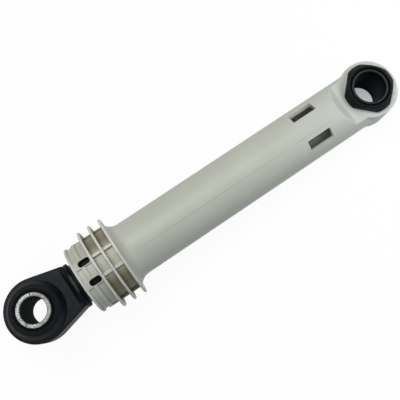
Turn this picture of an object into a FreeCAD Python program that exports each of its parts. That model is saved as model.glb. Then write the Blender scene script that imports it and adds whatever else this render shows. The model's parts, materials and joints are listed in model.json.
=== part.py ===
import FreeCAD, Part
import math
import os
import re

import Sketcher

# Friction damper of a washing machine, pushed together, in millimetres.
# The barrel's eye is centred on the origin with its bore along Z, and the rod's eye lies along +X.

SIZES = {
    # Whole damper
    "eye_distance": 188.0,
    "rod_eye_reach": 23.7,
    "running_fit": 0.06,
    "seat_fit": 0.05,
    # Barrel tube and its vent windows
    "barrel_radius": 13.65,
    "barrel_wall": 2.25,
    "end_wall": 1.8,
    "window_start": 28.7,
    "window_length": 12.8,
    "window_angle": 36.2,
    "window_width": 5.6,
    "window_corner": 0.5,
    # Barrel eye, flattened above and below
    "eye_thickness": 15.6,
    "boss_wall": 3.7,
    "boss_round": 0.7,
    "flat_margin": 2.6,
    "ramp_run": 5.4,
    # Collar at the barrel's mouth
    "neck_rise": 1.95,
    "neck_fillet_rise": 3.0,
    "neck_fillet_run": 5.5,
    "drum_rise": 1.4,
    "drum_recess": 0.7,
    "lip_width": 1.4,
    "lip_round": 0.8,
    "front_recess_width": 2.6,
    "ridge_width": 1.8,
    "rear_recess_width": 3.65,
    "flange_height": 4.8,
    "flange_thickness": 1.25,
    "flange_round": 0.5,
    "flange_pitch": 5.7,
    "collar_rib_height": 1.8,
    "collar_rib_thickness": 1.35,
    "collar_rib_offset": 4.9,
    "strip_width": 3.9,
    "chamber_wall": 2.2,
    "chamber_setback": 1.2,
    "mouth_chamfer": 0.6,
    "slot_setback": 3.3,
    "slot_length": 5.9,
    "slot_width": 3.1,
    "slot_corner": 1.45,
    # Guide cap, friction liner and washer in the collar
    "cap_recess": 0.5,
    "cap_length": 7.9,
    "cap_chamfer": 0.6,
    "hook_drop": 1.8,
    "hook_side_clearance": 0.25,
    "hook_end_clearance": 1.0,
    "liner_split": 0.6,
    "washer_thickness": 1.6,
    "washer_clearance": 0.3,
    # Rod with its shoulder and guide ring
    "rod_wall": 2.4,
    "rod_end_gap": 21.4,
    "rod_tip_chamfer": 0.8,
    "core_depth_to_mouth": 6.0,
    "shoulder_gap": 2.3,
    "shoulder_width": 1.8,
    "shoulder_rise": 1.5,
    "shoulder_round": 0.5,
    "shoulder_slope": 1.8,
    "ring_stand_off": 1.4,
    "ring_width": 4.0,
    "ring_side_clearance": 0.15,
    "ring_setback": 3.0,
    "ring_groove_depth": 1.0,
    "ring_split": 1.2,
    # Rod eye
    "lug_thickness": 14.0,
    "lug_wall": 3.8,
    "lug_root_inset": 0.8,
    "lug_edge_round": 1.0,
    # Rubber bush and rolled steel sleeve of the rod eye
    "rod_sleeve_length": 26.9,
    "rod_sleeve_bore": 6.1,
    "rod_sleeve_wall": 1.85,
    "sleeve_edge": 0.3,
    "seam_width": 0.3,
    "seam_angle": -109.0,
    "rubber_wall": 3.45,
    "cone_overhang": 2.2,
    "cone_base_edge": 0.8,
    "cone_shoulder_wall": 3.65,
    "cone_shoulder_drop": 2.15,
    "cone_top_wall": 1.8,
    "cone_top_drop": 1.0,
    "lip_drop": 0.5,
    "lip_thickness": 0.5,
    "lip_groove_depth": 0.7,
    # Rubber bush and inner sleeve of the barrel eye
    "barrel_sleeve_bore": 7.6,
    "barrel_sleeve_wall": 1.3,
    "barrel_sleeve_recess": 0.1,
    "barrel_sleeve_round": 0.6,
    "bush_wall": 1.9,
    "bush_flange_overhang": 1.7,
    "bush_flange_thickness": 3.8,
    "bush_flange_chamfer": 2.0,
    "bush_flat_depth": 1.55,
    "bush_mouth_margin": 0.7,
    "bush_mouth_depth": 1.0,
}

FLANGE_COUNT = 3

# Radii about the damper's axis, as expressions of the sizes
BORE_RADIUS = "(barrel_radius - barrel_wall)"
NECK_RADIUS = "(barrel_radius + neck_rise)"
DRUM_RADIUS = f"({NECK_RADIUS} + drum_rise)"
RECESS_RADIUS = f"({DRUM_RADIUS} - drum_recess)"
FLANGE_RADIUS = f"({NECK_RADIUS} + flange_height)"
CHAMBER_RADIUS = f"({NECK_RADIUS} - chamber_wall)"
ROD_RADIUS = f"({BORE_RADIUS} - ring_stand_off)"
SHOULDER_RADIUS = f"({ROD_RADIUS} + shoulder_rise)"
GROOVE_RADIUS = f"({ROD_RADIUS} - ring_groove_depth)"

# Radii about the two eyes' bores
BARREL_SLEEVE_RADIUS = "(barrel_sleeve_bore + barrel_sleeve_wall)"
EYE_BORE_RADIUS = f"({BARREL_SLEEVE_RADIUS} + bush_wall)"
BOSS_RADIUS = f"({EYE_BORE_RADIUS} + boss_wall)"
BUSH_FLANGE_RADIUS = f"({EYE_BORE_RADIUS} + bush_flange_overhang)"
ROD_SLEEVE_RADIUS = "(rod_sleeve_bore + rod_sleeve_wall)"
LUG_BORE_RADIUS = f"({ROD_SLEEVE_RADIUS} + rubber_wall)"
LUG_RADIUS = f"({LUG_BORE_RADIUS} + lug_wall)"

# Stations along the damper, from the barrel eye to the rod eye
RAMP_FOOT = f"({BUSH_FLANGE_RADIUS} + flat_margin)"
RAMP_HEAD = f"({RAMP_FOOT} + ramp_run)"
BORE_BOTTOM = f"({RAMP_HEAD} + end_wall)"
ROD_END = f"({BORE_BOTTOM} + rod_end_gap)"
RING_BACK = f"({ROD_END} + ring_setback)"
RING_FRONT = f"({RING_BACK} + ring_width)"
MOUTH = "(eye_distance - rod_eye_reach)"
LIP_BACK = f"({MOUTH} - lip_width)"
RIDGE_FRONT = f"({LIP_BACK} - front_recess_width)"
RIDGE_BACK = f"({RIDGE_FRONT} - ridge_width)"
FLANGE_FRONT = f"({RIDGE_BACK} - rear_recess_width)"
COLLAR_BACK = f"({FLANGE_FRONT} - {FLANGE_COUNT - 1} * flange_pitch - flange_thickness)"
CHAMBER_START = f"({COLLAR_BACK} - chamber_setback)"
WASHER_BACK = f"({CHAMBER_START} + seat_fit)"
WASHER_FRONT = f"({WASHER_BACK} + washer_thickness)"
CAP_FRONT = f"({MOUTH} - cap_recess)"
CAP_BACK = f"({CAP_FRONT} - cap_length)"
SLOT_START = f"({MOUTH} - slot_setback - slot_length)"
CORE_END = f"({MOUTH} - core_depth_to_mouth)"
SHOULDER_BACK = f"({MOUTH} + shoulder_gap)"
SHOULDER_FRONT = f"({SHOULDER_BACK} + shoulder_width)"
LUG_START = f"({SHOULDER_FRONT} + shoulder_slope)"

doc = FreeCAD.newDocument("ShockAbsorber")
sheet = doc.addObject("Spreadsheet::Sheet", "Sizes")
for row, (alias, size) in enumerate(SIZES.items(), start=1):
    sheet.set(f"A{row}", alias)
    sheet.set(f"B{row}", str(size))
    sheet.setAlias(f"B{row}", alias)
doc.recompute()


def bound(expression):
    """The expression with every size read from the sheet."""
    return re.sub(r"[a-z]\w*", lambda name: f"Sizes.{name[0]}" if name[0] in SIZES else name[0], expression)


def measure(expression):
    """The expression's present value."""
    return float(sheet.evalExpression(bound(expression)))


def origin_plane(body, role):
    """One of the body's own origin planes."""
    return next(feature for feature in body.Origin.OriginFeatures if feature.Role == role)


def new_body(label):
    """An empty body that becomes one sub-part."""
    body = doc.addObject("PartDesign::Body", label)
    body.Label = label
    return body


def new_sketch(body, name, plane, offset=None, tilt=None):
    """A sketch on one of the body's origin planes, moved along the plane's normal or tilted about X."""
    sketch = body.newObject("Sketcher::SketchObject", name)
    sketch.AttachmentSupport = [(origin_plane(body, plane), "")]
    sketch.MapMode = "FlatFace"
    if offset:
        sketch.setExpression("AttachmentOffset.Base.z", bound(offset))
    if tilt:
        sketch.AttachmentOffset.Rotation = FreeCAD.Rotation(FreeCAD.Vector(1, 0, 0), measure(tilt))
        sketch.setExpression("AttachmentOffset.Rotation.Angle", bound(tilt))
    return sketch


def pin_point(sketch, edge, end, x, y):
    """Hold a point of the sketch at the given distances from the origin."""
    for kind, distance, axis in (("DistanceX", x, -2), ("DistanceY", y, -1)):
        if distance == "0":
            sketch.addConstraint(Sketcher.Constraint("PointOnObject", edge, end, axis))
            continue
        index = sketch.addConstraint(Sketcher.Constraint(kind, -1, 1, edge, end, measure(distance)))
        sketch.setExpression(f"Constraints[{index}]", bound(distance))


def arc_between(here, there, radius):
    """The short arc from here to there, centred to the left of the path for a positive radius."""
    chord = there - here
    reach = math.sqrt(max(radius ** 2 - (chord.Length / 2) ** 2, 0))
    left = FreeCAD.Vector(-chord.y, chord.x, 0).normalize()
    centre = (here + there) / 2 + left * math.copysign(reach, radius)
    first, last = (here, there) if radius > 0 else (there, here)
    angles = [math.atan2(point.y - centre.y, point.x - centre.x) for point in (first, last)]
    return Part.ArcOfCircle(Part.Circle(centre, FreeCAD.Vector(0, 0, 1), abs(radius)), *angles)


def add_outline(sketch, corners):
    """A closed outline: each corner is x, y and, where an arc leads on from it, the arc's signed radius."""
    places = [FreeCAD.Vector(measure(corner[0]), measure(corner[1]), 0) for corner in corners]
    edges = []
    for corner, here, there in zip(corners, places, places[1:] + places[:1]):
        if len(corner) == 2:
            edges.append((sketch.addGeometry(Part.LineSegment(here, there), False), 1, 2))
            continue
        radius = measure(corner[2])
        start, end = (1, 2) if radius > 0 else (2, 1)
        edges.append((sketch.addGeometry(arc_between(here, there, radius), False), start, end))
    for corner, (edge, start, _), (before, _, end) in zip(corners, edges, edges[-1:] + edges[:-1]):
        sketch.addConstraint(Sketcher.Constraint("Coincident", before, end, edge, start))
        pin_point(sketch, edge, start, corner[0], corner[1])
        if len(corner) == 3:
            index = sketch.addConstraint(Sketcher.Constraint("Radius", edge, abs(measure(corner[2]))))
            sketch.setExpression(f"Constraints[{index}]", bound(f"abs({corner[2]})"))


def add_circle(sketch, x, radius):
    """A circle centred on the sketch's horizontal axis."""
    circle = Part.Circle(FreeCAD.Vector(measure(x), 0, 0), FreeCAD.Vector(0, 0, 1), measure(radius))
    edge = sketch.addGeometry(circle, False)
    pin_point(sketch, edge, 3, x, "0")
    index = sketch.addConstraint(Sketcher.Constraint("Radius", edge, measure(radius)))
    sketch.setExpression(f"Constraints[{index}]", bound(radius))


def add_rectangle(sketch, left, right, bottom, top):
    """A plain rectangle."""
    add_outline(sketch, [(left, bottom), (right, bottom), (right, top), (left, top)])


def add_opening(sketch, start, length, middle, width, corner):
    """A rectangle along X with round corners."""
    left, right = start, f"({start} + {length})"
    bottom, top = f"({middle} - {width} / 2)", f"({middle} + {width} / 2)"
    add_outline(sketch, [
        (f"{left} + {corner}", bottom), (f"{right} - {corner}", bottom, corner),
        (right, f"{bottom} + {corner}"), (right, f"{top} - {corner}", corner),
        (f"{right} - {corner}", top), (f"{left} + {corner}", top, corner),
        (left, f"{top} - {corner}"), (left, f"{bottom} + {corner}", corner),
    ])


def mirrored_profile(upper):
    """A profile about Z that is the same below the middle plane as above it."""
    return [(radius, f"-{height}") for radius, height in reversed(upper)] + upper


def revolve(body, name, corners, axis):
    """A turned form: a profile about the body's X axis, or about its Z axis."""
    plane, line = {"X": ("XY_Plane", "H_Axis"), "Z": ("XZ_Plane", "V_Axis")}[axis]
    sketch = new_sketch(body, f"{name}Profile", plane)
    add_outline(sketch, corners)
    turned = body.newObject("PartDesign::Revolution", name)
    turned.Profile = sketch
    turned.ReferenceAxis = (sketch, [line])
    turned.Angle = 360
    doc.recompute()
    return turned


def pad(body, name, sketch, length, symmetric=False):
    """Material added along the sketch's normal."""
    feature = body.newObject("PartDesign::Pad", name)
    feature.Profile = sketch
    feature.setExpression("Length", bound(length))
    feature.SideType = "Symmetric" if symmetric else "One side"
    doc.recompute()
    return feature


def check_cut(body, name, before):
    """Stop where a cut has taken nothing away."""
    doc.recompute()
    if body.Shape.Volume >= before:
        raise ValueError(f"{name} cuts nothing")


def pocket(body, name, sketch, upward=None):
    """A cut right through along the sketch's normal, to both sides of it or to one side only."""
    before = body.Shape.Volume
    feature = body.newObject("PartDesign::Pocket", name)
    feature.Profile = sketch
    feature.Type = "ThroughAll"
    feature.SideType = "Symmetric" if upward is None else "One side"
    feature.Reversed = bool(upward)
    check_cut(body, name, before)


def ring_profile(back, front, inner, outer):
    """The section of a plain ring about X."""
    return [(back, inner), (front, inner), (front, outer), (back, outer)]


def cut_split(body, name, back, front, width):
    """Split a ring with a slit through its upper side."""
    sketch = new_sketch(body, f"{name}Outline", "XY_Plane")
    add_rectangle(sketch, back, front, f"-{width} / 2", f"{width} / 2")
    pocket(body, name, sketch, upward=True)


def add_bars(body, name, start, length, offset, width, root, radius):
    """Four bars along X with sides in the mould's pull direction, Z, and round tops about the X axis."""
    sketch = new_sketch(body, f"{name}Section", "YZ_Plane", start)
    near, far = f"({offset} - {width} / 2)", f"({offset} + {width} / 2)"
    base = f"sqrt({root} ^ 2 - {near} ^ 2)"
    near_top, far_top = (f"sqrt({radius} ^ 2 - {edge} ^ 2)" for edge in (near, far))
    for side in ("", "-"):
        for face in ("", "-"):
            turn = "" if side == face else "-"
            add_outline(sketch, [
                (f"{side}{near}", f"{face}{base}"), (f"{side}{far}", f"{face}{base}"),
                (f"{side}{far}", f"{face}{far_top}", f"{turn}{radius}"),
                (f"{side}{near}", f"{face}{near_top}"),
            ])
    pad(body, name, sketch, length)


def flange_profile():
    """The outer line of the flanges with their round rims, from the mouth side to the neck."""
    line = []
    shoulder = f"({FLANGE_RADIUS} - flange_round)"
    for number in range(FLANGE_COUNT):
        front = f"({FLANGE_FRONT} - {number} * flange_pitch)"
        back = f"({front} - flange_thickness)"
        floor = RECESS_RADIUS if number == 0 else NECK_RADIUS
        line += [
            (front, floor), (front, shoulder, "flange_round"), (f"{front} - flange_round", FLANGE_RADIUS),
            (f"{back} + flange_round", FLANGE_RADIUS, "flange_round"), (back, shoulder),
        ]
        if number < FLANGE_COUNT - 1:
            line.append((back, NECK_RADIUS))
    return line


def flatten_eye_end(body):
    """Flats above and below the barrel's eye, each with a ramp up to the tube."""
    half = "(eye_thickness / 2)"
    sketch = new_sketch(body, "EyeFlatsProfile", "XZ_Plane")
    for side in ("", "-"):
        add_outline(sketch, [
            (f"-{BOSS_RADIUS}", f"{side}{half}"), (RAMP_FOOT, f"{side}{half}"),
            (RAMP_HEAD, f"{side}barrel_radius"), (RAMP_HEAD, f"{side}2 * barrel_radius"),
            (f"-{BOSS_RADIUS}", f"{side}2 * barrel_radius"),
        ])
    pocket(body, "EyeFlats", sketch)


def make_barrel():
    """The moulded barrel: tube, ribbed collar with hook slots, vent windows and flattened eye."""
    body = new_body("barrel")
    neck_arc = "-(neck_fillet_run ^ 2 + neck_fillet_rise ^ 2) / (2 * neck_fillet_rise)"
    revolve(body, "Tube", [
        ("0", "0"), (BORE_BOTTOM, "0"), (BORE_BOTTOM, BORE_RADIUS), (CHAMBER_START, BORE_RADIUS),
        (CHAMBER_START, CHAMBER_RADIUS), (f"{MOUTH} - mouth_chamfer", CHAMBER_RADIUS),
        (MOUTH, f"{CHAMBER_RADIUS} + mouth_chamfer"), (MOUTH, f"{DRUM_RADIUS} - lip_round", "lip_round"),
        (f"{MOUTH} - lip_round", DRUM_RADIUS), (LIP_BACK, DRUM_RADIUS), (LIP_BACK, RECESS_RADIUS),
        (RIDGE_FRONT, RECESS_RADIUS), (RIDGE_FRONT, DRUM_RADIUS), (RIDGE_BACK, DRUM_RADIUS),
        (RIDGE_BACK, RECESS_RADIUS), *flange_profile(),
        (COLLAR_BACK, "barrel_radius + neck_fillet_rise", neck_arc),
        (f"{COLLAR_BACK} - neck_fillet_run", "barrel_radius"),
        ("0", "barrel_radius"),
    ], "X")

    root = f"({CHAMBER_RADIUS} + chamber_wall / 2)"
    add_bars(body, "SlotStrips", FLANGE_FRONT, f"{LIP_BACK} - {FLANGE_FRONT}",
             "collar_rib_offset", "strip_width", root, DRUM_RADIUS)
    add_bars(body, "CollarRibs", f"{COLLAR_BACK} + flange_thickness", f"{FLANGE_COUNT - 1} * flange_pitch",
             "collar_rib_offset", "collar_rib_thickness", root, f"({NECK_RADIUS} + collar_rib_height)")

    # The mould's parting plane leaves one rib on each side of the collar
    parting = new_sketch(body, "PartingRibsOutline", "XY_Plane")
    for side in ("", "-"):
        add_rectangle(parting, COLLAR_BACK, RIDGE_BACK, f"{side}{root}", f"{side}{DRUM_RADIUS}")
    pad(body, "PartingRibs", parting, "collar_rib_thickness", symmetric=True)

    flatten_eye_end(body)
    half = "(eye_thickness / 2)"
    inset = f"({BOSS_RADIUS} - boss_round)"
    revolve(body, "EyeBoss", [
        ("0", f"-{half}"), (inset, f"-{half}", "boss_round"), (BOSS_RADIUS, f"-{half} + boss_round"),
        (BOSS_RADIUS, f"{half} - boss_round", "boss_round"), (inset, half), ("0", half),
    ], "Z")
    eye = new_sketch(body, "EyeBoreOutline", "XY_Plane")
    add_circle(eye, "0", EYE_BORE_RADIUS)
    pocket(body, "EyeBore", eye)

    for name, side in (("LeftWindow", ""), ("RightWindow", "-")):
        window = new_sketch(body, f"{name}Outline", "XY_Plane", tilt=f"{side}window_angle")
        add_opening(window, "window_start", "window_length", "0", "window_width", "window_corner")
        pocket(body, name, window, upward=True)
    slots = new_sketch(body, "SlotsOutline", "XY_Plane")
    for side in ("", "-"):
        add_opening(slots, SLOT_START, "slot_length", f"{side}collar_rib_offset", "slot_width", "slot_corner")
    pocket(body, "Slots", slots)
    return body


def make_guide_cap():
    """The cap that guides the rod in the collar's mouth and hooks into the four slots."""
    body = new_body("guide_cap")
    bore = f"({ROD_RADIUS} + running_fit)"
    outer = f"({CHAMBER_RADIUS} - seat_fit)"
    revolve(body, "CapRing", [
        (f"{CAP_BACK} + cap_chamfer", bore), (f"{CAP_FRONT} - cap_chamfer", bore),
        (CAP_FRONT, f"{bore} + cap_chamfer"), (CAP_FRONT, outer),
        (CAP_BACK, outer), (CAP_BACK, f"{bore} + cap_chamfer"),
    ], "X")
    add_bars(body, "CapHooks", f"{SLOT_START} + hook_end_clearance", "slot_length - 2 * hook_end_clearance",
             "collar_rib_offset", "(slot_width - 2 * hook_side_clearance)",
             f"(({bore} + {outer}) / 2)", f"({DRUM_RADIUS} - hook_drop)")
    return body


def make_friction_liner():
    """The greased foam strip, wrapped round the rod between the washer and the cap."""
    body = new_body("friction_liner")
    back, front = f"({WASHER_FRONT} + seat_fit)", f"({CAP_BACK} - seat_fit)"
    inner, outer = f"({ROD_RADIUS} + running_fit)", f"({CHAMBER_RADIUS} - seat_fit)"
    revolve(body, "LinerRing", ring_profile(back, front, inner, outer), "X")
    cut_split(body, "LinerJoint", back, front, "liner_split")
    return body


def make_liner_washer():
    """The washer that backs the liner and stops the guide ring at full stroke."""
    body = new_body("liner_washer")
    inner, outer = f"({ROD_RADIUS} + washer_clearance)", f"({CHAMBER_RADIUS} - seat_fit)"
    revolve(body, "WasherRing", ring_profile(WASHER_BACK, WASHER_FRONT, inner, outer), "X")
    return body


def draw_lug(sketch):
    """The lug's outline: a round eye with straight sides that run tangent to it from the shoulder."""
    root_half = f"({SHOULDER_RADIUS} - lug_root_inset)"
    eye_x, eye_radius = measure("eye_distance"), measure(LUG_RADIUS)
    root_x, root_y = measure(SHOULDER_FRONT), measure(root_half)
    lean = math.asin(eye_radius / math.hypot(eye_x - root_x, root_y)) - math.atan2(root_y, eye_x - root_x)
    touch_x, touch_y = eye_x - eye_radius * math.sin(lean), eye_radius * math.cos(lean)
    low_root, high_root = FreeCAD.Vector(root_x, -root_y, 0), FreeCAD.Vector(root_x, root_y, 0)
    low_touch, high_touch = FreeCAD.Vector(touch_x, -touch_y, 0), FreeCAD.Vector(touch_x, touch_y, 0)
    eye_tip = FreeCAD.Vector(eye_x + eye_radius, 0, 0)
    low_side = sketch.addGeometry(Part.LineSegment(low_root, low_touch), False)
    eye_arc = sketch.addGeometry(Part.Arc(low_touch, eye_tip, high_touch), False)
    high_side = sketch.addGeometry(Part.LineSegment(high_touch, high_root), False)
    root = sketch.addGeometry(Part.LineSegment(high_root, low_root), False)
    sketch.addConstraint(Sketcher.Constraint("Tangent", low_side, 2, eye_arc, 1))
    sketch.addConstraint(Sketcher.Constraint("Tangent", eye_arc, 2, high_side, 1))
    sketch.addConstraint(Sketcher.Constraint("Coincident", high_side, 2, root, 1))
    sketch.addConstraint(Sketcher.Constraint("Coincident", root, 2, low_side, 1))
    pin_point(sketch, eye_arc, 3, "eye_distance", "0")
    pin_point(sketch, root, 1, SHOULDER_FRONT, root_half)
    pin_point(sketch, root, 2, SHOULDER_FRONT, f"-{root_half}")
    radius = sketch.addConstraint(Sketcher.Constraint("Radius", eye_arc, eye_radius))
    sketch.setExpression(f"Constraints[{radius}]", bound(LUG_RADIUS))


def make_rod():
    """The moulded rod: hollow shaft with a ring groove, stop shoulder and flat lug eye."""
    body = new_body("rod")
    outline = new_sketch(body, "LugOutline", "XY_Plane")
    draw_lug(outline)
    lug = pad(body, "Lug", outline, "lug_thickness", symmetric=True)
    boxes = [edge.BoundBox for edge in lug.Shape.Edges]
    rim = [f"Edge{number}" for number, box in enumerate(boxes, start=1)
           if box.ZLength < lug.Length.Value / 2 and box.XMax > measure(LUG_START)]
    rounding = body.newObject("PartDesign::Fillet", "LugEdges")
    rounding.Base = (lug, rim)
    rounding.setExpression("Radius", bound("lug_edge_round"))
    doc.recompute()

    core_radius = f"({ROD_RADIUS} - rod_wall)"
    rim_radius = f"({SHOULDER_RADIUS} - shoulder_round)"
    groove_back = f"({RING_BACK} - ring_side_clearance)"
    groove_front = f"({RING_FRONT} + ring_side_clearance)"
    revolve(body, "Shaft", [
        (ROD_END, core_radius), (CORE_END, core_radius), (CORE_END, "0"), (LUG_START, "0"),
        (LUG_START, rim_radius), (SHOULDER_FRONT, rim_radius, "shoulder_round"),
        (f"{SHOULDER_FRONT} - shoulder_round", SHOULDER_RADIUS),
        (f"{SHOULDER_BACK} + shoulder_round", SHOULDER_RADIUS, "shoulder_round"), (SHOULDER_BACK, rim_radius),
        (SHOULDER_BACK, ROD_RADIUS), (groove_front, ROD_RADIUS), (groove_front, GROOVE_RADIUS),
        (groove_back, GROOVE_RADIUS), (groove_back, ROD_RADIUS),
        (f"{ROD_END} + rod_tip_chamfer", ROD_RADIUS), (ROD_END, f"{ROD_RADIUS} - rod_tip_chamfer"),
    ], "X")
    ramps = new_sketch(body, "RampsProfile", "XZ_Plane")
    for side in ("", "-"):
        add_outline(ramps, [
            (SHOULDER_FRONT, f"{side}{rim_radius}"), (LUG_START, f"{side}lug_thickness / 2"),
            (LUG_START, f"{side}{SHOULDER_RADIUS}"), (SHOULDER_FRONT, f"{side}{SHOULDER_RADIUS}"),
        ])
    pocket(body, "Ramps", ramps)
    eye = new_sketch(body, "LugBoreOutline", "XY_Plane")
    add_circle(eye, "eye_distance", LUG_BORE_RADIUS)
    pocket(body, "LugBore", eye)
    return body


def make_rod_guide_ring():
    """The split ring that carries the rod's inner end along the barrel."""
    body = new_body("rod_guide_ring")
    inner, outer = f"({GROOVE_RADIUS} + running_fit)", f"({BORE_RADIUS} - running_fit)"
    revolve(body, "GuideRing", ring_profile(RING_BACK, RING_FRONT, inner, outer), "X")
    cut_split(body, "GuideRingSplit", RING_BACK, RING_FRONT, "ring_split")
    return body


def make_rod_eye_rubber():
    """The rubber bush of the rod eye: a waist in the lug and a cone with a thin lip on each side."""
    body = new_body("rod_eye_rubber")
    bore = f"({ROD_SLEEVE_RADIUS} + seat_fit)"
    waist = f"({LUG_BORE_RADIUS} - seat_fit)"
    face = "(lug_thickness / 2 + seat_fit)"
    cone_base = f"({LUG_BORE_RADIUS} + cone_overhang)"
    cone_shoulder = f"({ROD_SLEEVE_RADIUS} + cone_shoulder_wall)"
    shoulder_top = "(rod_sleeve_length / 2 - cone_shoulder_drop)"
    cone_tip = f"({ROD_SLEEVE_RADIUS} + cone_top_wall)"
    cone_top = "(rod_sleeve_length / 2 - cone_top_drop)"
    lip_top = "(rod_sleeve_length / 2 - lip_drop)"
    groove_floor = f"({lip_top} - lip_groove_depth)"
    lip_inner = f"({bore} + lip_thickness / 2)"
    lip_outer = f"({lip_inner} + lip_thickness)"
    groove_radius = f"(({lip_outer} + {cone_tip}) / 2)"
    revolve(body, "RubberBush", mirrored_profile([
        (waist, face), (cone_base, face), (cone_base, f"({face} + cone_base_edge)"),
        (cone_shoulder, shoulder_top), (cone_tip, cone_top),
        (groove_radius, groove_floor), (lip_outer, lip_top), (lip_inner, lip_top), (bore, groove_floor),
    ]), "Z")
    body.setExpression("Placement.Base.x", bound("eye_distance"))
    return body


def make_rod_eye_sleeve():
    """The steel sleeve that the mounting bolt passes through, rolled from strip with an open seam."""
    body = new_body("rod_eye_sleeve")
    end = "(rod_sleeve_length / 2)"
    side = f"({end} - sleeve_edge)"
    revolve(body, "SteelSleeve", mirrored_profile([
        (ROD_SLEEVE_RADIUS, side), (f"({ROD_SLEEVE_RADIUS} - sleeve_edge)", end),
        ("(rod_sleeve_bore + sleeve_edge)", end), ("rod_sleeve_bore", side),
    ]), "Z")
    seam = new_sketch(body, "SeamOutline", "XY_Plane")
    half_seam = "(seam_width / 2)"
    add_rectangle(seam, "rod_sleeve_bore / 2", f"(2 * {ROD_SLEEVE_RADIUS})", f"-{half_seam}", half_seam)
    pocket(body, "Seam", seam)
    body.Placement.Rotation = FreeCAD.Rotation(FreeCAD.Vector(0, 0, 1), measure("seam_angle"))
    body.setExpression("Placement.Base.x", bound("eye_distance"))
    body.setExpression("Placement.Rotation.Angle", bound("seam_angle"))
    return body


def make_barrel_eye_rubber():
    """The rubber bush of the barrel eye: a waist in the boss and a flange with four flats on each side."""
    body = new_body("barrel_eye_rubber")
    bore = f"({BARREL_SLEEVE_RADIUS} + seat_fit)"
    waist = f"({EYE_BORE_RADIUS} - seat_fit)"
    face = "(eye_thickness / 2 + seat_fit)"
    front = "(eye_thickness / 2 + bush_flange_thickness)"
    revolve(body, "FlangedBush", mirrored_profile([
        (waist, face), (BUSH_FLANGE_RADIUS, face), (BUSH_FLANGE_RADIUS, f"({front} - bush_flange_chamfer)"),
        (f"({BUSH_FLANGE_RADIUS} - bush_flange_chamfer)", front),
        (f"({BARREL_SLEEVE_RADIUS} + bush_mouth_margin)", front), (bore, f"({front} - bush_mouth_depth)"),
    ]), "Z")

    flats = new_sketch(body, "FlangeFlatsOutline", "XY_Plane")
    add_circle(flats, "0", f"(2 * {BUSH_FLANGE_RADIUS})")
    corner = f"(({BUSH_FLANGE_RADIUS} - bush_flat_depth) * sqrt(2))"
    add_outline(flats, [(corner, "0"), ("0", corner), (f"-{corner}", "0"), ("0", f"-{corner}")])
    pocket(body, "FlangeFlats", flats)
    return body


def make_barrel_eye_sleeve():
    """The inner sleeve of the barrel eye, with round ends a little below the rubber."""
    body = new_body("barrel_eye_sleeve")
    end = "(eye_thickness / 2 + bush_flange_thickness - barrel_sleeve_recess)"
    side = f"({end} - barrel_sleeve_round)"
    outer = f"({BARREL_SLEEVE_RADIUS} - barrel_sleeve_round)"
    inner = "(barrel_sleeve_bore + barrel_sleeve_round)"
    revolve(body, "InnerSleeve", [
        ("barrel_sleeve_bore", f"-{side}", "barrel_sleeve_round"), (inner, f"-{end}"),
        (outer, f"-{end}", "barrel_sleeve_round"), (BARREL_SLEEVE_RADIUS, f"-{side}"),
        (BARREL_SLEEVE_RADIUS, side, "barrel_sleeve_round"), (outer, end),
        (inner, end, "barrel_sleeve_round"), ("barrel_sleeve_bore", side),
    ], "Z")
    return body


sub_parts = [
    make_barrel(), make_guide_cap(), make_friction_liner(), make_liner_washer(),
    make_barrel_eye_rubber(), make_barrel_eye_sleeve(), make_rod_guide_ring(),
    make_rod(), make_rod_eye_rubber(), make_rod_eye_sleeve(),
]
doc.recompute()

for item in doc.Objects:
    if "Invalid" in item.State or "Error" in item.State:
        raise ValueError(f"{item.Label} failed: {item.State}")
for part in sub_parts:
    if part.Shape.isNull() or not part.Shape.isValid():
        raise ValueError(f"{part.Label} has no valid shape")

os.makedirs("parts", exist_ok=True)
for part in sub_parts:
    part.Shape.exportStep(f"parts/{part.Label}.step")
    print(f"{part.Label}: {len(part.Shape.Solids)} solid, {part.Shape.Volume:.0f} mm3")
stroke = measure(f"{WASHER_BACK} - {RING_FRONT}")
print(f"stroke to the washer {stroke:.2f} mm, shoulder gap {measure('shoulder_gap'):.2f} mm")
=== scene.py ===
import json
import math

import bpy
from mathutils import Euler, Matrix, Vector


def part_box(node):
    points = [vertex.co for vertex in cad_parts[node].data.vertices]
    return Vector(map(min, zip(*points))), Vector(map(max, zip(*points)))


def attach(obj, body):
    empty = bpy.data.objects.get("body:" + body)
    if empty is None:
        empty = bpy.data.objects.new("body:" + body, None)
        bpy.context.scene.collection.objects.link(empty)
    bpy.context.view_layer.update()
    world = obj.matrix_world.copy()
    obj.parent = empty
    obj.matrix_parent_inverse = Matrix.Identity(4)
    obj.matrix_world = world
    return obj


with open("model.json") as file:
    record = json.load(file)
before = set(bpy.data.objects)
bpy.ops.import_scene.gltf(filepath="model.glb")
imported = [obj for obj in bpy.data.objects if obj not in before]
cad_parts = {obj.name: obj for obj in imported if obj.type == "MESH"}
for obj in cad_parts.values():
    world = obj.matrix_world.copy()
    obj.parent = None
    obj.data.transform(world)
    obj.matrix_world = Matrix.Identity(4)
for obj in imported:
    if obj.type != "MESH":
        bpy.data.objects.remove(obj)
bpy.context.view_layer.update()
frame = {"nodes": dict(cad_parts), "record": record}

# The damper lies along X in metres: the barrel's eye at the origin, the rod's eye at +X, both bores along Z.
MM = 0.001
MOUNTS = {mount["name"]: mount for mount in frame["record"]["mounts"]}


def far_corner(node):
    """The corner of a node's box with its greatest X, Y and Z."""
    return Vector(frame["nodes"][node].bound_box[6])


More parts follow.
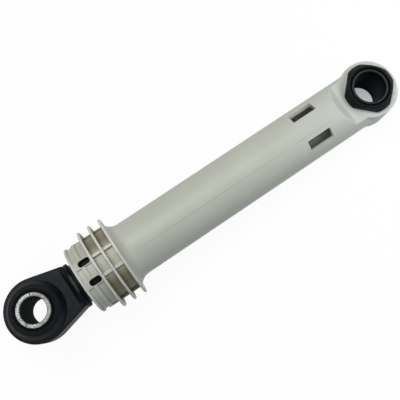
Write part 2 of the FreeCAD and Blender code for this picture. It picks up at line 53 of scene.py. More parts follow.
# The rod's eye with its steel sleeve, and the barrel's eye with its bush
ROD_EYE = Vector(MOUNTS["rod_eye"]["pos_m"])
SLEEVE_BORE = MOUNTS["rod_eye"]["dims"]["r_mm"] * MM
SLEEVE_RADIUS = far_corner("rod_eye_sleeve").y
SLEEVE_HALF = far_corner("rod_eye_sleeve").z
SEAM_ANGLE = math.radians(-109.0)
BARREL_EYE = Vector(MOUNTS["barrel_eye"]["pos_m"])
EYE_BORE = MOUNTS["barrel_eye"]["dims"]["r_mm"] * MM
EYE_SLEEVE_RADIUS = far_corner("barrel_eye_sleeve").x
BUSH_EDGE = far_corner("barrel_eye_rubber").x

# The barrel's tube, with the stations where its ramp, windows and plain stretch begin and end
BARREL_RADIUS = 13.65 * MM
BORE_RADIUS = 11.4 * MM
RAMP_FOOT = 15.1 * MM
TUBE_START = 21.0 * MM
PAST_WINDOWS = 45.0 * MM
PLAIN_START = 25.0 * MM
PLAIN_END = 132.0 * MM
PARTING_ANGLE = math.radians(14.5)
PARTING_NORMAL = (0.0, math.cos(PARTING_ANGLE), -math.sin(PARTING_ANGLE))
MOULD_MISMATCH = 0.07 * MM

# The barrel's collar
COLLAR_BACK = 142.2 * MM
FLANGE_FRONT = 154.85 * MM
FLANGE_RADIUS = far_corner("barrel").y
RIB_OFFSET = 4.9 * MM
DRUM_RADIUS = 17.0 * MM
MOUTH = far_corner("barrel").x

# The rod with its shoulder and its flat lug
ROD_RADIUS = 10.0 * MM
SHOULDER_FRONT = 168.4 * MM
LUG_START = 170.2 * MM
LUG_HALF = 7.0 * MM

# The camera as fitted to the photograph: where it stands, how it is turned and its focal length in pixels
CAMERA_PLACE = Vector((0.13347, 0.04086, 0.29909))
CAMERA_TURN = Euler((math.radians(10.474), math.radians(-1.129), math.radians(145.774)))
FOCAL_PIXELS = 634.82
IMAGE_PIXELS = 400
SENSOR_MM = 36.0
NEAREST_SEEN = 0.01

# The floor: where the part rests on it along X, and its rings from the middle out as (radius, rise)
COLLAR_REST = 142.8 * MM
BUSH_REST = -12.0 * MM
FLOOR_GAP = 0.02 * MM
FLOOR_RINGS = [(1.6, 0.0), (2.2, 0.08), (2.6, 0.35), (2.8, 0.9)]
FLOOR_SPOKES = 96


class Wire:
    """A socket in a node tree. Sums written with it add Math nodes."""

    def __init__(self, tree, socket=None):
        self.tree = tree
        self.socket = socket

    def node(self, kind, settings=None, sockets=None, out=0):
        """Add a node with its settings and its sockets' values or links, and give one of its outputs."""
        made = self.tree.nodes.new(kind)
        for name, setting in (settings or {}).items():
            if name == "stops":
                set_stops(made.color_ramp, setting)
            else:
                setattr(made, name, setting)
        for key, value in (sockets or {}).items():
            if isinstance(value, Wire):
                self.tree.links.new(value.socket, made.inputs[key])
            else:
                made.inputs[key].default_value = value
        return Wire(self.tree, made.outputs[out] if made.outputs else None)

    def other(self, out):
        """Another output of the same node."""
        return Wire(self.tree, self.socket.node.outputs[out])

    def math(self, operation, *values, clamp=False):
        settings = {"operation": operation, "use_clamp": clamp}
        return self.node("ShaderNodeMath", settings, dict(enumerate(values)))

    def vector_math(self, operation, *values, out="Vector"):
        return self.node("ShaderNodeVectorMath", {"operation": operation}, dict(enumerate(values)), out)

    def clamped(self):
        return self.math("ADD", self, 0.0, clamp=True)

    def unsigned(self):
        """The value without its sign."""
        return self.math("ABSOLUTE", self)

    def __add__(self, value):
        return self.math("ADD", self, value)

    __radd__ = __add__

    def __sub__(self, value):
        return self.math("SUBTRACT", self, value)

    def __rsub__(self, value):
        return self.math("SUBTRACT", value, self)

    def __mul__(self, value):
        return self.math("MULTIPLY", self, value)

    __rmul__ = __mul__


def set_stops(ramp, stops):
    """Fill a colour ramp with (place, grey level) stops."""
    while len(ramp.elements) < len(stops):
        ramp.elements.new(0.5)
    for element, (place, level) in zip(ramp.elements, stops):
        element.position = place
        element.color = (level, level, level, 1.0)


def colour(red, green, blue):
    """An opaque colour in linear light."""
    return (red, green, blue, 1.0)


# Where a point of a surface lies

def object_place(paint, centre=(0.0, 0.0, 0.0), scale=(1.0, 1.0, 1.0)):
    """Object coordinates about a centre, scaled along each axis. A small scale draws a pattern out."""
    place = paint.node("ShaderNodeTexCoord", out="Object")
    return place.vector_math("MULTIPLY", place.vector_math("SUBTRACT", place, centre), scale)


def split(place):
    """The place's X, Y and Z as three values."""
    along = place.node("ShaderNodeSeparateXYZ", {}, {0: place})
    return along, along.other("Y"), along.other("Z")


def from_axis(place, direction):
    """The distance from a line through the place's origin along X or Z."""
    across = {"X": (0.0, 1.0, 1.0), "Z": (1.0, 1.0, 0.0)}[direction]
    flat = place.vector_math("MULTIPLY", place, across)
    return flat.vector_math("LENGTH", flat, out="Value")


def fade(value, start, end):
    """A mask that goes from 0 at the start value to 1 at the end value."""
    return ((value - start) * (1.0 / (end - start))).clamped()


def band(value, low, high, soft):
    """A mask that is 1 between two values and goes to 0 over a soft margin beyond them."""
    return fade(value, low - soft, low) * fade(value, high + soft, high)


# What a surface is painted with

def new_finish(name):
    """An empty material and a wire into its node tree."""
    material = bpy.data.materials.new(name)
    material.use_nodes = True
    material.node_tree.nodes.clear()
    return material, Wire(material.node_tree)


def noise(place, size, detail=2.0, roughness=0.5):
    """Noise from 0 to 1 with spots of about the given size in metres."""
    sockets = {"Vector": place, "Scale": 1.0 / size, "Detail": detail, "Roughness": roughness}
    return place.node("ShaderNodeTexNoise", {}, sockets)


def cells(place, size, **settings):
    """Distances within cells of about the given size in metres."""
    sockets = {"Vector": place, "Scale": 1.0 / size}
    return place.node("ShaderNodeTexVoronoi", settings, sockets, "Distance")


def ramp(mask, *stops):
    """The mask with its levels set by (place, grey level) stops."""
    return mask.node("ShaderNodeValToRGB", {"stops": stops}, {"Fac": mask})


def mix(mask, first, second):
    """The first colour where the mask is 0, the second where it is 1."""
    # A Mix node takes colours at its inputs 6 and 7 and gives them at its output 2.
    return mask.node("ShaderNodeMix", {"data_type": "RGBA"}, {0: mask, 6: first, 7: second}, 2)


def lay_over(base, coats):
    """Lay coats over a base colour, each given as a mask and the tint that it brings."""
    for mask, tint in coats:
        base = mix(mask, base, tint)
    return base


def soft_edge(paint, radius, contrast=4.0):
    """The surface's normal with its edges rounded off, and a mask of those edges."""
    rounded = paint.node("ShaderNodeBevel", {"samples": 8}, {"Radius": radius})
    flat = paint.node("ShaderNodeNewGeometry", out="Normal")
    turned = 1.0 - rounded.vector_math("DOT_PRODUCT", rounded, flat, out="Value")
    return rounded, (turned * contrast).clamped()


def crevices(paint, reach):
    """A mask of the corners and pockets that the surface itself closes in."""
    settings = {"samples": 8, "only_local": True}
    return 1.0 - paint.node("ShaderNodeAmbientOcclusion", settings, {"Distance": reach}, "AO")


def bump(height, depth, normal):
    """The normal tilted by a relief of the given depth."""
    return height.node("ShaderNodeBump", {}, {"Height": height, "Distance": depth, "Normal": normal})


def principled(base, roughness, normal, **constants):
    """A Principled shader; its constants are named as its sockets are."""
    sockets = {"Base Color": base, "Roughness": roughness, "Normal": normal}
    for name, value in constants.items():
        label = name.replace("_", " ").title().replace("Ior", "IOR")
        sockets[label] = value
    return base.node("ShaderNodeBsdfPrincipled", {}, sockets)


def dull(base, **sockets):
    """A shader with no shine at all."""
    return base.node("ShaderNodeBsdfDiffuse", {}, {"Color": base, **sockets})


def either(mask, first, second):
    """The first shader where the mask is 0, the second where it is 1."""
    return mask.node("ShaderNodeMixShader", {}, {0: mask, 1: first, 2: second})


def close(material, shader):
    """End a material with its shader."""
    shader.node("ShaderNodeOutputMaterial", {}, {"Surface": shader})
    return material


# Finishes of the damper's pieces

def tube_zones(place):
    """Masks of the barrel's tube and its eye's end, most of them for painted light and shade."""
    along, across, _ = split(place)
    depth = from_axis(place, "X")
    tube = fade(along, TUBE_START, TUBE_START + 1.0 * MM)
    by_windows = tube * fade(along, PAST_WINDOWS + 5.0 * MM, PAST_WINDOWS)
    window_walls = fade(depth, BARREL_RADIUS - 0.1 * MM, BARREL_RADIUS - 0.4 * MM) * by_windows
    plain = fade(along, PLAIN_START, PLAIN_START + 20.0 * MM) * fade(along, PLAIN_END, PLAIN_END - 20.0 * MM)
    parting = place.vector_math("DOT_PRODUCT", place, PARTING_NORMAL, out="Value")
    round_bush = fade(from_axis(place, "Z"), BUSH_EDGE + 3.0 * MM, BUSH_EDGE - 0.1 * MM)
    return {
        "lit_eye_end": fade(along, 50.0 * MM, 12.0 * MM),
        "shade_by_bush": round_bush * fade(along, 7.0 * MM, 12.0 * MM),
        "ramp": band(along, RAMP_FOOT - 1.0 * MM, TUBE_START, 1.0 * MM),
        "bore": fade(depth, BORE_RADIUS + 0.4 * MM, BORE_RADIUS + 0.1 * MM) * tube,
        "lit_far_side": fade(across, -2.0 * MM, -7.0 * MM),
        "lit_far_walls": window_walls * fade(across, 1.0 * MM, -1.0 * MM),
        "mismatch": fade(parting, 0.45 * MM, -0.45 * MM) * plain,
    }


def collar_zones(paint, place):
    """Masks of the barrel's collar: painted shade in the fillet behind it and in its pockets, painted light
    on each rib, the flange tops and the rim of the mouth.
    """
    along, across, _ = split(place)
    depth = from_axis(place, "X")
    past_neck = fade(along, COLLAR_BACK, COLLAR_BACK + 0.8 * MM)
    by_flanges = fade(along, FLANGE_FRONT, FLANGE_FRONT - 0.6 * MM)
    off_middle = fade(across.unsigned(), 4.0 * MM, 9.5 * MM)
    closed_in = fade(crevices(paint, 7.0 * MM), 0.10, 0.60)
    # Painted shade: olive darkening where the collar closes in, weak in the middle band, where the flanges
    # cast least shadow.
    pockets = closed_in * past_neck * (0.35 + 0.65 * by_flanges) * (0.06 + 0.94 * off_middle)
    # Painted light on each rib and on the floor beside it that it shadows.
    left = band(across, RIB_OFFSET - 0.7 * MM, RIB_OFFSET + 1.4 * MM, 0.5 * MM)
    right = band(across, -RIB_OFFSET - 0.7 * MM, -RIB_OFFSET + 1.4 * MM, 0.5 * MM)
    under_crests = fade(depth, FLANGE_RADIUS - 1.9 * MM, FLANGE_RADIUS - 2.3 * MM)
    mouth = fade(along, MOUTH - 1.0 * MM, MOUTH - 0.4 * MM)
    return {
        "neck": band(along, COLLAR_BACK - 2.4 * MM, COLLAR_BACK - 1.0 * MM, 1.0 * MM),
        "pockets": pockets,
        "rib_light": (left + right) * past_neck * by_flanges * under_crests,
        "crest_light": fade(depth, FLANGE_RADIUS - 2.0 * MM, FLANGE_RADIUS - 1.2 * MM),
        "lip": mouth * fade(depth, DRUM_RADIUS - 1.4 * MM, DRUM_RADIUS - 0.8 * MM),
    }


def barrel_plastic():
    """Warm light grey moulding with a fine satin grain and faint flow streaks, painted olive shade in its
    pockets and painted light and shade about its collar, bore and eye's end.
    """
    material, paint = new_finish("barrel_plastic")
    place = object_place(paint)
    flow = object_place(paint, scale=(0.12, 1.0, 1.0))
    tube = tube_zones(place)
    collar = collar_zones(paint, place)
    rounded, edges = soft_edge(paint, 0.35 * MM + 1.6 * MM * tube["ramp"])
    clouds = noise(place, 22.0 * MM, 3.0)
    streaks = noise(flow, 3.5 * MM, 3.0)
    grain = noise(place, 0.35 * MM, 2.0)
    waves = noise(place, 14.0 * MM, 1.0)
    mottle = ramp(clouds * 0.6 + streaks * 0.4, (0.35, 0.0), (0.65, 1.0))
    grey = mix(mottle, colour(0.49, 0.50, 0.435), colour(0.525, 0.535, 0.47))
    # Painted light inside the bore: light grey, lightest on the far side, where light through the windows
    # falls.
    lit_bore_grey = mix(tube["lit_far_side"], colour(0.40, 0.395, 0.355), colour(0.78, 0.77, 0.66))
    base = lay_over(grey, [
        (ramp(grain, (0.3, 0.0), (0.75, 0.12)), colour(0.40, 0.40, 0.34)),
        # Painted light: lighter and bluer towards the eye's end, standing in for a highlight there.
        (tube["lit_eye_end"], colour(0.520, 0.538, 0.492)),
        # Painted shade round the eye's bush, under its flange.
        (tube["shade_by_bush"] * 0.5, colour(0.27, 0.29, 0.265)),
        # Painted shade in the fillet behind the collar.
        (collar["neck"] * 0.6, colour(0.40, 0.405, 0.345)),
        # Painted olive shade in the pockets.
        (collar["pockets"], colour(0.175, 0.148, 0.070)),
        # Painted light on each rib.
        (collar["rib_light"] * 0.7, colour(0.72, 0.72, 0.64)),
        # Painted light on the flange tops and a painted highlight on the rim of the mouth.
        ((collar["crest_light"] * 0.5 + collar["lip"] * 0.8).clamped(), colour(0.78, 0.78, 0.71)),
        # Painted light on the far walls of the windows.
        (tube["lit_far_walls"], colour(0.68, 0.68, 0.61)),
        (tube["bore"], lit_bore_grey),
        # Painted highlight along the edges, except on the ramp.
        (edges * 0.45 * (1.0 - tube["ramp"]), colour(0.66, 0.66, 0.595)),
    ])
    roughness = 0.36 + 0.10 * streaks + 0.08 * grain
    normal = bump(waves, 0.05 * MM, rounded)
    normal = bump(tube["mismatch"], MOULD_MISMATCH, normal)
    normal = bump(grain, 0.012 * MM, normal)
    shader = principled(base, roughness, normal, specular_ior_level=0.38, subsurface_weight=0.15,
                        subsurface_radius=(1.0, 1.0, 0.8), subsurface_scale=1.6 * MM)
    return close(material, shader)


def rod_plastic():
    """Blue-black glass-filled moulding: specks, dust bloom and a painted highlight on its flats; a dark root;
    a painted highlight on the shoulder.
    """
    material, paint = new_finish("rod_plastic")
    place = object_place(paint)
    along, across, height = split(place)
    rise = height.unsigned()
    rounded, edges = soft_edge(paint, 0.35 * MM)
    grain = noise(place, 0.45 * MM, 3.0, 0.6)
    clouds = noise(place, 3.5 * MM, 4.0, 0.6)
    specks = ramp(noise(place, 0.7 * MM, 2.0), (0.66, 0.0), (0.76, 1.0))
    lug = fade(along, LUG_START, LUG_START + 1.0 * MM)
    flats = fade(rise, LUG_HALF - 0.5 * MM, LUG_HALF - 0.1 * MM)
    flats = flats * fade(along, LUG_START, LUG_START + 0.5 * MM)
    # Dust bloom and a painted highlight on the flats, stronger towards -Y, where the light falls.
    bloom_and_sheen = flats * (0.45 + 0.55 * fade(across, 12.0 * MM, -12.0 * MM))
    shoulder = fade(along, SHOULDER_FRONT - 0.5 * MM, SHOULDER_FRONT - 1.1 * MM)
    shoulder = shoulder * fade(rise, ROD_RADIUS + 0.2 * MM, ROD_RADIUS + 1.0 * MM)
    # Painted highlight across the top of the shoulder.
    shoulder_highlight = shoulder * fade(across.unsigned(), 8.0 * MM, 3.0 * MM)
    black = mix(ramp(clouds, (0.3, 0.0), (0.7, 1.0)),
                colour(0.0050, 0.0058, 0.0085), colour(0.0075, 0.0086, 0.0120))
    # The flats' lighter tone: dust bloom and painted highlight.
    bloom = mix(ramp(clouds, (0.35, 0.0), (0.65, 1.0)),
                colour(0.0120, 0.0155, 0.0205), colour(0.0210, 0.0260, 0.0330))
    base = lay_over(black, [
        (bloom_and_sheen, bloom),
        (shoulder_highlight, colour(0.058, 0.058, 0.060)),
        (ramp(grain, (0.62, 0.0), (0.80, 0.5)), colour(0.026, 0.029, 0.036)),
        (specks * flats * 0.5, colour(0.075, 0.082, 0.090)),
        (edges * 0.7 * lug, colour(0.048, 0.053, 0.062)),
    ])
    roughness = 0.40 + 0.12 * grain + 0.08 * clouds
    normal = bump(grain, 0.03 * MM, rounded)
    return close(material, principled(base, roughness, normal, specular_ior_level=0.08))


def black_rubber(name, centre, tint, shine, ring_pitch, seat):
    """Black moulded rubber: the turned rings of its mould, a bloom of dust and painted shade round the seat
    by its sleeve.
    """
    material, paint = new_finish(name)
    place = object_place(paint, centre)
    rounded, edges = soft_edge(paint, 0.3 * MM)
    reach = from_axis(place, "Z")
    rings = reach.math("SINE", reach * (2.0 * math.pi / ring_pitch))
    by_sleeve = band(reach, seat + 0.8 * MM, seat + 2.8 * MM, 0.5 * MM)
    # Painted shade: a dull near-black ring round the sleeve's seat.
    shaded = fade(reach, seat + 1.2 * MM, seat + 0.7 * MM) * 0.85
    grain = noise(place, 0.5 * MM, 3.0, 0.6)
    dust = ramp(noise(place, 2.6 * MM, 4.0, 0.6), (0.42, 0.0), (0.68, 1.0))
    base = mix(dust * 0.5, tint, colour(0.0090, 0.0118, 0.0148))
    base = mix(edges * 0.4, base, colour(0.018, 0.021, 0.026))
    roughness = shine + 0.12 * grain + 0.10 * dust
    normal = bump(grain, 0.03 * MM, rounded)
    normal = bump(rings * (0.1 + 0.9 * by_sleeve), 0.06 * MM, normal)
    open_face = principled(base, roughness, normal, specular_ior_level=0.13)
    seat_shade = dull(mix(grain, colour(0.0028, 0.0032, 0.0040), tint))
    return close(material, either(shaded, open_face, seat_shade))


def inner_sleeve_plastic():
    """Black moulding with satin ends and a dull bore, scuffed lengthways by its pin and lighter towards the
    bore's lower end.
    """
    material, paint = new_finish("inner_sleeve_plastic")
    place = object_place(paint)
    drawn = object_place(paint, scale=(1.0, 1.0, 0.06))
    _, _, height = split(place)
    rounded, edges = soft_edge(paint, 0.25 * MM)
    bore = 1.0 - fade(from_axis(place, "Z"), EYE_BORE + 0.02 * MM, EYE_BORE + 0.15 * MM)
    scuffs = ramp(noise(drawn, 0.5 * MM, 3.0, 0.6), (0.55, 0.0), (0.8, 1.0))
    grain = noise(place, 0.4 * MM, 2.0)
    base = mix(scuffs * 0.5, colour(0.012, 0.013, 0.016), colour(0.020, 0.021, 0.025))
    base = mix(edges * 0.5, base, colour(0.040, 0.042, 0.048))
    roughness = 0.38 + 0.14 * scuffs + 0.08 * grain
    normal = bump(scuffs, 0.01 * MM, rounded)
    ends = principled(base, roughness, normal, specular_ior_level=0.3)
    scuffed = mix(scuffs * 0.6, colour(0.0110, 0.0125, 0.0160), colour(0.0210, 0.0225, 0.0280))
    # The bore is lighter towards its lower end.
    paler_lower_bore = mix(fade(height, 9.0 * MM, -2.0 * MM), scuffed, colour(0.055, 0.064, 0.078))
    return close(material, either(bore, ends, dull(paler_lower_bore)))


def cap_plastic():
    """Dull black moulding of the guide cap, washer and ring, with a trace of grease."""
    material, paint = new_finish("cap_plastic")
    place = object_place(paint)
    rounded, edges = soft_edge(paint, 0.2 * MM)
    grain = noise(place, 0.6 * MM, 3.0, 0.6)
    grease = ramp(noise(place, 6.0 * MM, 3.0), (0.5, 0.0), (0.62, 1.0))
    base = mix(grain, colour(0.0025, 0.0025, 0.0028), colour(0.006, 0.006, 0.007))
    base = mix(edges * 0.4, base, colour(0.014, 0.014, 0.015))
    roughness = 0.5 - 0.25 * grease + 0.1 * grain
    normal = bump(grain, 0.03 * MM, rounded)
    return close(material, principled(base, roughness, normal, specular_ior_level=0.12))


def liner_foam():
    """Open-cell foam soaked in amber grease."""
    material, paint = new_finish("liner_foam")
    place = object_place(paint)
    cell_walls = ramp(cells(place, 0.7 * MM, feature="DISTANCE_TO_EDGE"), (0.05, 1.0), (0.30, 0.0))
    soak = noise(place, 5.0 * MM, 3.0)
    base = mix(cell_walls, colour(0.11, 0.085, 0.04), colour(0.40, 0.34, 0.20))
    base = mix(soak * 0.5, base, colour(0.22, 0.17, 0.08))
    roughness = 0.75 - 0.35 * soak
    normal = bump(cell_walls, 0.25 * MM, paint.node("ShaderNodeNewGeometry", out="Normal"))
    return close(material, principled(base, roughness, normal, specular_ior_level=0.4))


def sleeve_steel():
    """Zinc-plated steel: bright rough-cut ends, darker towards the barrel from painted shade and specks of
    dirt, and a bore painted dark and dull for its shade, with draw lines.
    """
    material, paint = new_finish("sleeve_steel")
    place = object_place(paint, ROD_EYE)
    drawn = object_place(paint, ROD_EYE, scale=(1.0, 1.0, 0.04))
    along, _, height = split(place)
    rounded, _ = soft_edge(paint, 0.2 * MM)
    ends = fade(height.unsigned(), SLEEVE_HALF - 0.45 * MM, SLEEVE_HALF - 0.25 * MM)
    bore = 1.0 - fade(from_axis(place, "Z"), SLEEVE_BORE + 0.1 * MM, SLEEVE_BORE + 0.25 * MM)
    chips = cells(place, 0.8 * MM)
    bits = noise(place, 0.55 * MM, 4.0, 0.65)
    draw_lines = noise(drawn, 0.35 * MM, 3.0, 0.6)
    bloom = noise(place, 3.0 * MM, 3.0)
    zinc = mix(bloom, colour(0.50, 0.51, 0.49), colour(0.66, 0.66, 0.63))
    cut = mix(ramp(bits * 0.65 + bloom * 0.35, (0.36, 0.0), (0.64, 1.0)),
              colour(0.11, 0.115, 0.11), colour(0.66, 0.67, 0.65))
    # Painted shade on the ends towards the barrel, with specks of dirt.
    towards_barrel = fade(along, 3.0 * MM, -5.0 * MM)
    grime_and_shade = ends * towards_barrel * (0.30 + 0.40 * ramp(bits, (0.35, 0.0), (0.62, 1.0)))
    base = lay_over(zinc, [(ends, cut), (grime_and_shade, colour(0.22, 0.22, 0.21))])
    roughness = 0.36 + 0.12 * draw_lines + 0.16 * ends * bits
    normal = bump(draw_lines * (1.0 - ends), 0.02 * MM, rounded)
    normal = bump(ends * (bits * 0.6 + chips * 0.5), 0.16 * MM, normal)
    bright = principled(base, roughness, normal, metallic=1.0)
    # Painted shade: the bore is a dark, dull green in place of bright zinc.
    shaded_bore_green = mix(draw_lines, colour(0.009, 0.017, 0.016), colour(0.022, 0.034, 0.031))
    return close(material, either(bore * (1.0 - ends) * 0.98, bright, dull(shaded_bore_green, Normal=normal)))


FINISHES = {
    "barrel_plastic": barrel_plastic(),
    "rod_plastic": rod_plastic(),
    "cap_plastic": cap_plastic(),
    "bush_rubber": black_rubber(
        "bush_rubber", centre=ROD_EYE, tint=colour(0.0038, 0.0046, 0.0072),
        shine=0.46, ring_pitch=1.2 * MM, seat=SLEEVE_RADIUS),
    "flange_rubber": black_rubber(
        "flange_rubber", centre=BARREL_EYE, tint=colour(0.0040, 0.0054, 0.0056),
        shine=0.42, ring_pitch=1.1 * MM, seat=EYE_SLEEVE_RADIUS),
    "inner_sleeve_plastic": inner_sleeve_plastic(),
    "sleeve_steel": sleeve_steel(),
    "liner_foam": liner_foam(),
}

for sub_part in frame["record"]["subparts"]:
    node = frame["nodes"][sub_part["node"]]
    node.data.materials.clear()
    node.data.materials.append(FINISHES[sub_part["material_slot"]])


# Geometry Nodes pieces

def new_tree(name, sizes):
    """A Geometry Nodes tree with one named input for each size, and wires from those inputs."""
    tree = bpy.data.node_groups.new(name, "GeometryNodeTree")
    kinds = {int: "NodeSocketInt", float: "NodeSocketFloat", bpy.types.Material: "NodeSocketMaterial"}
    for label, value in sizes.items():
        kind = next(socket for base, socket in kinds.items() if isinstance(value, base))
        tree.interface.new_socket(label, in_out="INPUT", socket_type=kind)
    tree.interface.new_socket("Piece", in_out="OUTPUT", socket_type="NodeSocketGeometry")
    start = Wire(tree).node("NodeGroupInput")
    return tree, {label: start.other(label) for label in sizes}


def point(wire, **axes):
    """A vector from the values of its named axes."""
    return wire.node("ShaderNodeCombineXYZ", {}, axes)


def moved(piece, **change):
    """A piece moved or turned."""
    return piece.node("GeometryNodeTransform", {}, {"Geometry": piece, **change})


def end_tree(upper, lower, material):
    """Join the two halves, make their instances real, give them the finish and close the tree."""
    both = upper.node("GeometryNodeJoinGeometry", {}, {0: upper})
    both.tree.links.new(lower.socket, both.socket.node.inputs[0])
    real = both.node("GeometryNodeRealizeInstances", {}, {"Geometry": both})
    done = real.node("GeometryNodeSetMaterial", {}, {"Geometry": real, "Material": material})
    done.node("NodeGroupOutput", {}, {0: done})


def grow(name, tree, sizes, body):
    """Run a tree, keep its result as a plain mesh and let it ride on a body."""
    seed = bpy.data.objects.new(name + ".seed", bpy.data.meshes.new(name + ".seed"))
    bpy.context.collection.objects.link(seed)
    modifier = seed.modifiers.new("grow", "NODES")
    modifier.node_group = tree
    for item in tree.interface.items_tree:
        if item.in_out == "INPUT":
            modifier[item.identifier] = sizes[item.name]
    evaluated = seed.evaluated_get(bpy.context.evaluated_depsgraph_get())
    mesh = bpy.data.meshes.new_from_object(evaluated)
    bpy.data.objects.remove(seed)
    piece = bpy.data.objects.new(name, mesh)
    bpy.context.collection.objects.link(piece)
    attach(piece, body)


def clear_of_seam(place, outward, size):
    """Which points of the sleeve's ring stand clear of its seam."""
    seam = point(place, X=place.math("COSINE", size["Seam angle"]), Y=place.math("SINE", size["Seam angle"]))
    nearness = place.vector_math("DOT_PRODUCT", outward, seam, out="Value")
    return place.math("LESS_THAN", nearness, place.math("COSINE", size["Seam clearance"]))


def sleeve_serrations():
    """Radial teeth pressed into both ends of the steel sleeve, so that it bites where the bolt clamps it."""
    sizes = {
        "Tooth count": 44, "Ring radius": (SLEEVE_BORE + SLEEVE_RADIUS) / 2, "Tooth length": 1.25 * MM,
        "Tooth size": 0.30 * MM, "Least share": 0.75, "Most share": 1.15, "Sink": 0.11 * MM,
        "End height": SLEEVE_HALF, "Seam angle": SEAM_ANGLE, "Seam clearance": 0.10, "Seed": 7,
        "Finish": FINISHES["sleeve_steel"],
    }
    tree, size = new_tree("sleeve_serrations", sizes)
    ring = Wire(tree).node("GeometryNodeMeshCircle", {}, {
        "Vertices": size["Tooth count"], "Radius": size["Ring radius"],
    })
    tooth = ring.node("GeometryNodeMeshCylinder", {}, {
        "Vertices": 3, "Radius": size["Tooth size"], "Depth": size["Tooth length"],
    })
    place = ring.node("GeometryNodeInputPosition")
    outward = place.vector_math("NORMALIZE", place)
    turn = place.node("FunctionNodeAlignRotationToVector", {"axis": "Z"}, {"Vector": outward})
    turn = place.node("FunctionNodeAlignRotationToVector", {"axis": "X", "pivot_axis": "Z"}, {
        "Rotation": turn, "Vector": (0.0, 0.0, 1.0),
    })
    # A Random Value node takes numbers at its inputs 2 and 3 and gives them at its output 1.
    share = place.node("FunctionNodeRandomValue", {"data_type": "FLOAT"}, {
        2: size["Least share"], 3: size["Most share"], "Seed": size["Seed"],
    }, 1)
    teeth = ring.node("GeometryNodeInstanceOnPoints", {}, {
        "Points": ring, "Selection": clear_of_seam(place, outward, size), "Instance": tooth,
        "Rotation": turn, "Scale": share,
    })
    height = size["End height"] - size["Sink"]
    upper = moved(teeth, Translation=point(place, X=ROD_EYE.x, Z=height))
    lower = moved(teeth, Translation=point(place, X=ROD_EYE.x, Z=height * -1.0), Rotation=(math.pi, 0.0, 0.0))
    end_tree(upper, lower, size["Finish"])
    grow("sleeve_serrations", tree, sizes, "rod")


def parting_flash():
    """The thin flash line that the mould's parting plane leaves along the barrel, above and below."""
    sizes = {
        "Start": 25.5 * MM, "End": 135.5 * MM, "Side": BARREL_RADIUS - 0.06 * MM, "Flash width": 0.10 * MM,
        "Wander": 0.05 * MM, "Steps": 160, "Turn": math.pi / 2 - PARTING_ANGLE,
        "Finish": FINISHES["barrel_plastic"],
    }
    tree, size = new_tree("parting_flash", sizes)
    wire = Wire(tree)
    line = wire.node("GeometryNodeCurvePrimitiveLine", {}, {
        "Start": point(wire, X=size["Start"], Y=size["Side"]),
        "End": point(wire, X=size["End"], Y=size["Side"]),
    })
    line = line.node("GeometryNodeResampleCurve", {}, {"Curve": line, "Count": size["Steps"]})
    place = line.node("GeometryNodeInputPosition")
    shift = (noise(place, 5.0 * MM) - 0.5) * size["Wander"]
    line = line.node("GeometryNodeSetPosition", {}, {
        "Geometry": line, "Offset": point(place, Y=shift, Z=shift),
    })
    section = line.node("GeometryNodeCurvePrimitiveCircle", {}, {
        "Resolution": 6, "Radius": size["Flash width"],
    })
    flash = line.node("GeometryNodeCurveToMesh", {}, {
        "Curve": line, "Profile Curve": section, "Fill Caps": True,
    })
    upper = moved(flash, Rotation=point(flash, X=size["Turn"]))
    lower = moved(flash, Rotation=point(flash, X=size["Turn"] + math.pi))
    end_tree(upper, lower, size["Finish"])
    grow("parting_flash", tree, sizes, "barrel")


sleeve_serrations()
parting_flash()


# Stage, light and camera

def pale_floor():
    """White to the camera and in reflections, with a plain share that keeps the shadow, most in corners."""
    material, paint = new_finish("pale_floor")
    light = paint.node("ShaderNodeLightPath", out="Is Camera Ray")
    seen = light.math("MAXIMUM", light.other("Is Glossy Ray"), light.other("Is Transmission Ray"))
    seen = light.math("MAXIMUM", light, seen)
    plain = paint.node("ShaderNodeBsdfDiffuse", {}, {"Color": colour(0.42, 0.42, 0.42)})
    white = paint.node("ShaderNodeEmission", {}, {"Color": colour(1.0, 1.0, 1.0), "Strength": 1.075})
    openness = paint.node("ShaderNodeAmbientOcclusion", {"samples": 12}, {"Distance": 12.0 * MM}, "AO")
    under_eye = fade(from_axis(object_place(paint), "Z"), EYE_BORE + 2.0 * MM, EYE_BORE + 0.5 * MM)
    lit = (0.40 + 0.48 * fade(openness, 0.12, 0.42)) * (1.0 - 0.54 * under_eye)
    return close(material, either(seen * lit, plain, white))


def floor_mesh():
    """A round floor about its own origin, with its far edge swept up all round."""
    points = [(0.0, 0.0, 0.0)]
    for radius, rise in FLOOR_RINGS:
        for spoke in range(FLOOR_SPOKES):
            turn = 2.0 * math.pi * spoke / FLOOR_SPOKES
            points.append((radius * math.cos(turn), radius * math.sin(turn), rise))
    faces = []
    for spoke in range(FLOOR_SPOKES):
        beside = (spoke + 1) % FLOOR_SPOKES
        faces.append((0, 1 + spoke, 1 + beside))
        for ring in range(len(FLOOR_RINGS) - 1):
            inner = 1 + ring * FLOOR_SPOKES
            outer = inner + FLOOR_SPOKES
            faces.append((inner + spoke, outer + spoke, outer + beside, inner + beside))
    mesh = bpy.data.meshes.new("floor")
    mesh.from_pydata(points, [], faces)
    return mesh


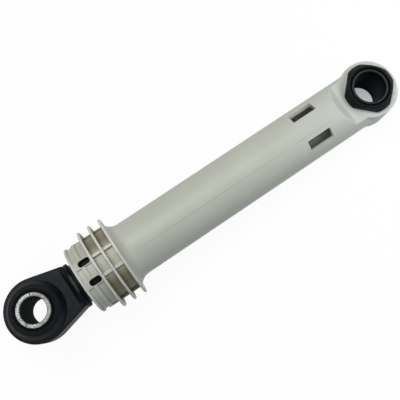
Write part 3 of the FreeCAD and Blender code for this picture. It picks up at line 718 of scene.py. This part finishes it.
def add_floor():
    """A floor that touches the collar's rim and the barrel eye's bush."""
    rim, bush = (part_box(node)[0][2] for node in ("barrel", "barrel_eye_rubber"))
    slope = math.atan2(rim - bush, COLLAR_REST - BUSH_REST)
    tilt = Matrix.Rotation(-slope, 4, "Y")
    mesh = floor_mesh()
    mesh.transform(Matrix.Translation((COLLAR_REST, 0.0, rim - FLOOR_GAP)) @ tilt)
    mesh.shade_smooth()
    mesh.materials.append(pale_floor())
    floor = bpy.data.objects.new("floor", mesh)
    bpy.context.collection.objects.link(floor)


def add_lamp(name, target, direction, distance, size, light, tint):
    """A square soft box in a direction from its target, which gets the given light in W/m2."""
    lamp = bpy.data.lights.new(name, "AREA")
    lamp.color = tint
    lamp.size = size
    lamp.energy = light * math.pi * distance ** 2
    holder = bpy.data.objects.new(name, lamp)
    towards = Vector(direction).normalized()
    holder.location = Vector(target) + towards * distance
    holder.rotation_euler = towards.to_track_quat("Z", "Y").to_euler()
    bpy.context.collection.objects.link(holder)


def light_room(tint, strength):
    """Even light from all round."""
    world = bpy.data.worlds.new("room")
    world.use_nodes = True
    background = world.node_tree.nodes["Background"]
    background.inputs["Color"].default_value = tint
    background.inputs["Strength"].default_value = strength
    bpy.context.scene.world = world


def add_camera():
    """A camera where the photograph was taken from."""
    lens = bpy.data.cameras.new("camera")
    lens.sensor_width = SENSOR_MM
    lens.lens = SENSOR_MM * FOCAL_PIXELS / IMAGE_PIXELS
    lens.clip_start = NEAREST_SEEN
    camera = bpy.data.objects.new("camera", lens)
    camera.matrix_world = Matrix.LocRotScale(CAMERA_PLACE, CAMERA_TURN, None)
    bpy.context.collection.objects.link(camera)
    bpy.context.scene.camera = camera


add_floor()
light_room(tint=colour(0.88, 0.99, 1.09), strength=0.34)
add_lamp("key", target=(0.09, 0.0, 0.0), direction=(0.10, -0.36, 0.95), distance=1.1, size=0.60,
         light=1.98, tint=(1.01, 0.98, 0.91))
add_lamp("end", target=(-0.01, 0.0, 0.0), direction=(-0.42, 0.42, 0.80), distance=0.16, size=0.08,
         light=1.4, tint=(0.95, 1.0, 1.04))
add_camera()
bpy.context.scene.view_settings.view_transform = "Standard"
